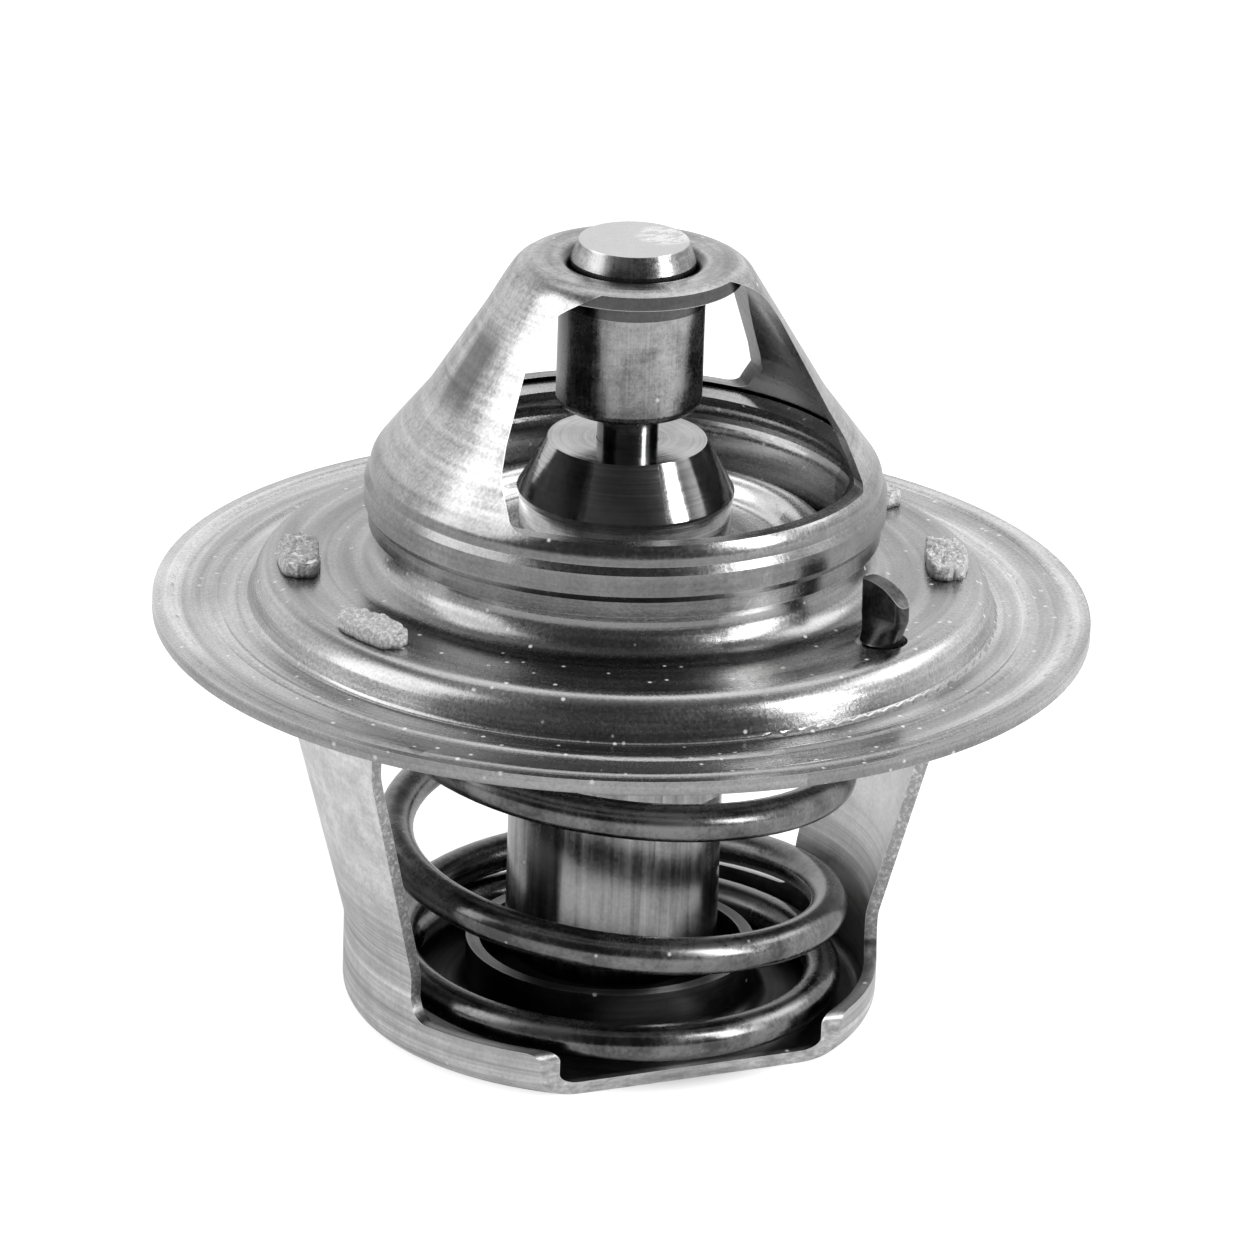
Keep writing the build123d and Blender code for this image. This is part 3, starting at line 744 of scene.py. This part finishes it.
# %% Finishes of the lower pieces
SATIN = ((rings, 0.3, 2200), (streaks, 0.1, 16), (smudges, 0.4, 700), (smudges, 0.3, 5000))
FINISHES |= {
    "element_guide": steel(
        "polished_steel",
        (0.36, 0.56),
        (0.1, 0.16),
        ((rings, 0.5, 7000), (smudges, 0.3, 400)),
        painted_shade=(hollow_shade, 0.25, 4),
    ),
    "element_cup": steel(
        "cup_steel",
        (0.18, 0.58),
        (0.16, 0.28),
        ((streaks, 0.8, 9), (smudges, 0.2, 350), (smudges, 0.1, 5000)),
    ),
    "valve_plate": steel(
        "plate_steel",
        (0.75, 1.0),
        (0.2, 0.32),
        ((rings, 0.5, 2600), (rings, 0.35, 800), (smudges, 0.2, 200), (smudges, 0.3, 6000)),
        painted_shade=(hollow_shade, 0.15, 3),
    ),
    "lower_frame": steel(
        "frame_steel",
        (0.66, 0.96),
        (0.3, 0.44),
        SATIN,
        0.004,
        (own_hollow_shade, 0.7, 10),
        (0.6, 0.08),
        0.1,
        frame_wear_and_shade,
    ),
    "vent_pin": steel("vent_metal", (0.06, 0.17), (0.3, 0.42), SATIN, edge=(0.4, 0.12)),
    "spring": steel(
        "spring_wire",
        (0.1, 0.28),
        (0.18, 0.32),
        ((streaks, 0.2, 9), (smudges, 0.5, 240), (smudges, 0.2, 4000)),
        painted_shade=(hollow_shade, 0.7, 3),
        edge=(0, 0.1),
    ),
}
print("steels:", [finish.name for finish in FINISHES.values()])

# %% [markdown]
# Four pieces are closed inside the wax element. They never show, but a part in a library
# may be cut open, so each still gets a material: rubber, plastic or wax. One plain
# function is enough for all of them.

# %% Hidden pieces
MOTTLE = 0.8
HIDDEN = {
    "wax_charge": ("wax", (0.72, 0.64, 0.45), 0.5),
    "rubber_plug": ("black_rubber", (0.03, 0.03, 0.03), 0.7),
    "diaphragm": ("black_rubber", (0.03, 0.03, 0.03), 0.7),
    "anti_extrusion_washer": ("white_plastic", (0.85, 0.85, 0.83), 0.4),
}


def soft_finish(name, colour, roughness):
    """Plastic, rubber or wax with a faint mottle."""
    if name in bpy.data.materials:
        return bpy.data.materials[name]
    material = bpy.data.materials.new(name)
    material.use_nodes = True
    tree = material.node_tree
    shader = tree.nodes["Principled BSDF"]
    shader.inputs["Roughness"].default_value = roughness
    mottle = blend_in(tree, 0.0, 0.0, use(tree, smudges, 500.0))
    mottle.node.inputs[6].default_value = (*[MOTTLE * part for part in colour], 1)
    mottle.node.inputs[7].default_value = (*colour, 1)
    feed(tree, shader.inputs["Base Color"], mottle)
    return material


for name, node in nodes.items():
    finish = FINISHES[name] if name in FINISHES else soft_finish(*HIDDEN[name])
    node.data.materials.clear()
    node.data.materials.append(finish)
print("finished nodes:", len(nodes))

# %% [markdown]
# The spring is squeezed when the valve opens, which a rigid node can't do. It is wound
# again here as its own mesh, at rest and not squeezed: a round wire carried along a
# left-hand coil, closed at the top, evenly spaced in the middle and easing to rest on the
# floor of the frame. First comes the line that the middle of the wire follows.

# %% Coil
WIRE_RADIUS = 0.97
PITCH = 7.4
TOP_RADIUS = 11.72
FOOT_RADIUS = 11.0
TOP_HEIGHT = 0.114
FOOT_HEIGHT = -20.36
DEAD_TURNS = 0.62
REST_TURNS = 0.22
EASE_IN = 0.3
EASE_OUT = 1.45
END_AZIMUTH = 62.2

even_turns = (TOP_HEIGHT - FOOT_HEIGHT) / PITCH - (EASE_IN + EASE_OUT) / 2
live_turns = EASE_IN + even_turns + EASE_OUT
all_turns = DEAD_TURNS + live_turns + REST_TURNS


def coil_place(turn):
    """Centre of the wire after some turns from its upper end."""
    live = min(max(turn - DEAD_TURNS, 0), live_turns)
    if live < EASE_IN:
        height = TOP_HEIGHT - PITCH * live**2 / (2 * EASE_IN)
    elif live < EASE_IN + even_turns:
        height = TOP_HEIGHT - PITCH * (live - EASE_IN / 2)
    else:
        height = FOOT_HEIGHT + PITCH * (live_turns - live) ** 2 / (2 * EASE_OUT)
    radius = TOP_RADIUS - (TOP_RADIUS - FOOT_RADIUS) * live / live_turns
    return at_azimuth(radius, END_AZIMUTH + 360 * turn, height)


print("turns of wire:", round(all_turns, 2))

# %% [markdown]
# Now a ring of points is set round each step of that line, and the rings are joined by
# faces. A curve with a round bevel gives the same wire, but here its cut ends are closed
# too. The valve lifts downwards by 8 mm, and a squash would take as much off the height of
# the coil and leave its foot on the floor of the frame; the coil here is not squashed.

# %% Spring
STEPS_PER_TURN = 72
SIDES = 24
END_SHRINK = 0.9
NEAR_TURN = 0.002


def wound_wire():
    """Mesh of the wire, with its ends cut flat and their rims broken."""
    steps = math.ceil(all_turns * STEPS_PER_TURN)
    mesh = bmesh.new()
    loops = []
    for step in range(steps + 1):
        turn = all_turns * step / steps
        here = coil_place(turn)
        way = coil_place(turn + NEAR_TURN) - coil_place(turn - NEAR_TURN)
        way.normalize()
        out = Vector((here.x, here.y, 0)).normalized()
        out = (out - way * out.dot(way)).normalized()
        up = way.cross(out)
        radius = WIRE_RADIUS * MM * (END_SHRINK if step in (0, steps) else 1)
        angles = [2 * math.pi * side / SIDES for side in range(SIDES)]
        spots = [here + radius * (math.cos(a) * out + math.sin(a) * up) for a in angles]
        loops.append([mesh.verts.new(spot) for spot in spots])
    for low, high in zip(loops, loops[1:]):
        for side in range(SIDES):
            other = (side + 1) % SIDES
            mesh.faces.new((low[side], low[other], high[other], high[side]))
    mesh.faces.new(loops[0][::-1])
    mesh.faces.new(loops[-1])
    bmesh.ops.recalc_face_normals(mesh, faces=mesh.faces)
    return mesh


def to_object(mesh, name, material):
    """Links a bmesh as a smooth object with one material."""
    data = bpy.data.meshes.new(name)
    mesh.to_mesh(data)
    mesh.free()
    data.shade_smooth()
    data.materials.append(material)
    thing = bpy.data.objects.new(name, data)
    bpy.context.scene.collection.objects.link(thing)
    return thing


spring = to_object(wound_wire(), "coil_spring", FINISHES["spring"])
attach(spring, "frame")
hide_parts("spring")
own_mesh(spring)
print("spring faces:", len(spring.data.polygons))

# %% [markdown]
# The frame's four tabs are hammered over on top of the hat. That leaves lumpy, pale
# heads with a broken outline. Each gets a dense skin over its solid: an oval dome whose
# border and top are pushed about by noise. They could be sculpted, but noise comes out
# the same on each run and makes four different heads from one function.

# %% Hammered tabs
TAB_AZIMUTHS = (-108.4, -71.6, 71.6, 108.4)
TAB_RADIUS = 16.575
TAB_HALF_WIDTH = 1.05
TAB_HALF_LENGTH = 2.22
TAB_FOOT = 2.08
TAB_TOP = 2.84
TAB_LUMP = 0.16
TAB_BORDER = 0.13
TAB_SQUARENESS = 3.2
TAB_ROUND_OFF = 0.12
BORDER_WAVES = 1.7
LUMP_WAVES = 1.9
SKIRT_FROM = 0.9
RINGS_IN = 26
TURNS_ROUND = 96
tab_steel = steel(
    "hammered_steel",
    (0.6, 1.0),
    (0.35, 0.55),
    ((smudges, 1.0, 5500),),
    0.03,
    (hollow_shade, 0.5, 0.8),
    (0, 0.1),
    0.0,
    shine=0.1,
)


def hammered_head(azimuth, seed):
    """Lumpy oval head over one tab, closed underneath."""
    mesh = bmesh.new()
    loops = []
    for i in range(1, RINGS_IN + 1):
        share = i / RINGS_IN
        spread = min(share / SKIRT_FROM, 1.0)
        loop = []
        for j in range(TURNS_ROUND):
            a = 2 * math.pi * j / TURNS_ROUND
            x, y = math.cos(a), math.sin(a)
            square = abs(x) ** TAB_SQUARENESS + abs(y) ** TAB_SQUARENESS
            square **= -1 / TAB_SQUARENESS
            spot = Vector((x * BORDER_WAVES, y * BORDER_WAVES, seed * 5.1))
            ragged = noise.fractal(spot, 1.0, 2.0, 4)
            reach = spread * square * (1 + TAB_BORDER * ragged * share)
            across = TAB_HALF_WIDTH * reach * x
            along = TAB_HALF_LENGTH * reach * y
            spot = Vector((across * LUMP_WAVES, along * LUMP_WAVES, seed * 7.3))
            lump = noise.fractal(spot, 0.9, 2.0, 5) * TAB_LUMP
            height = TAB_TOP + lump - TAB_ROUND_OFF * spread**6
            if share > SKIRT_FROM:
                height -= (height - TAB_FOOT) * (share - SKIRT_FROM) / (1 - SKIRT_FROM)
            turn = azimuth + math.degrees(along / TAB_RADIUS)
            loop.append(mesh.verts.new(at_azimuth(TAB_RADIUS + across, turn, height)))
        loops.append(loop)
    for low, high in zip(loops, loops[1:]):
        for j in range(TURNS_ROUND):
            k = (j + 1) % TURNS_ROUND
            mesh.faces.new((low[j], low[k], high[k], high[j]))
    mesh.faces.new(loops[0])
    mesh.faces.new(loops[-1][::-1])
    bmesh.ops.recalc_face_normals(mesh, faces=mesh.faces)
    return mesh


for count, azimuth in enumerate(TAB_AZIMUTHS, start=1):
    head = to_object(hammered_head(azimuth, count), f"tab_head_{count}", tab_steel)
    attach(head, "frame")
print("hammered tabs:", len(TAB_AZIMUTHS))

# %% [markdown]
# The sizes of the CAD model and of the finished one are kept side by side, so that the
# two can be compared.

# %% Sizes side by side
corners = {"cad": cad_box, "scene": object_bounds()}
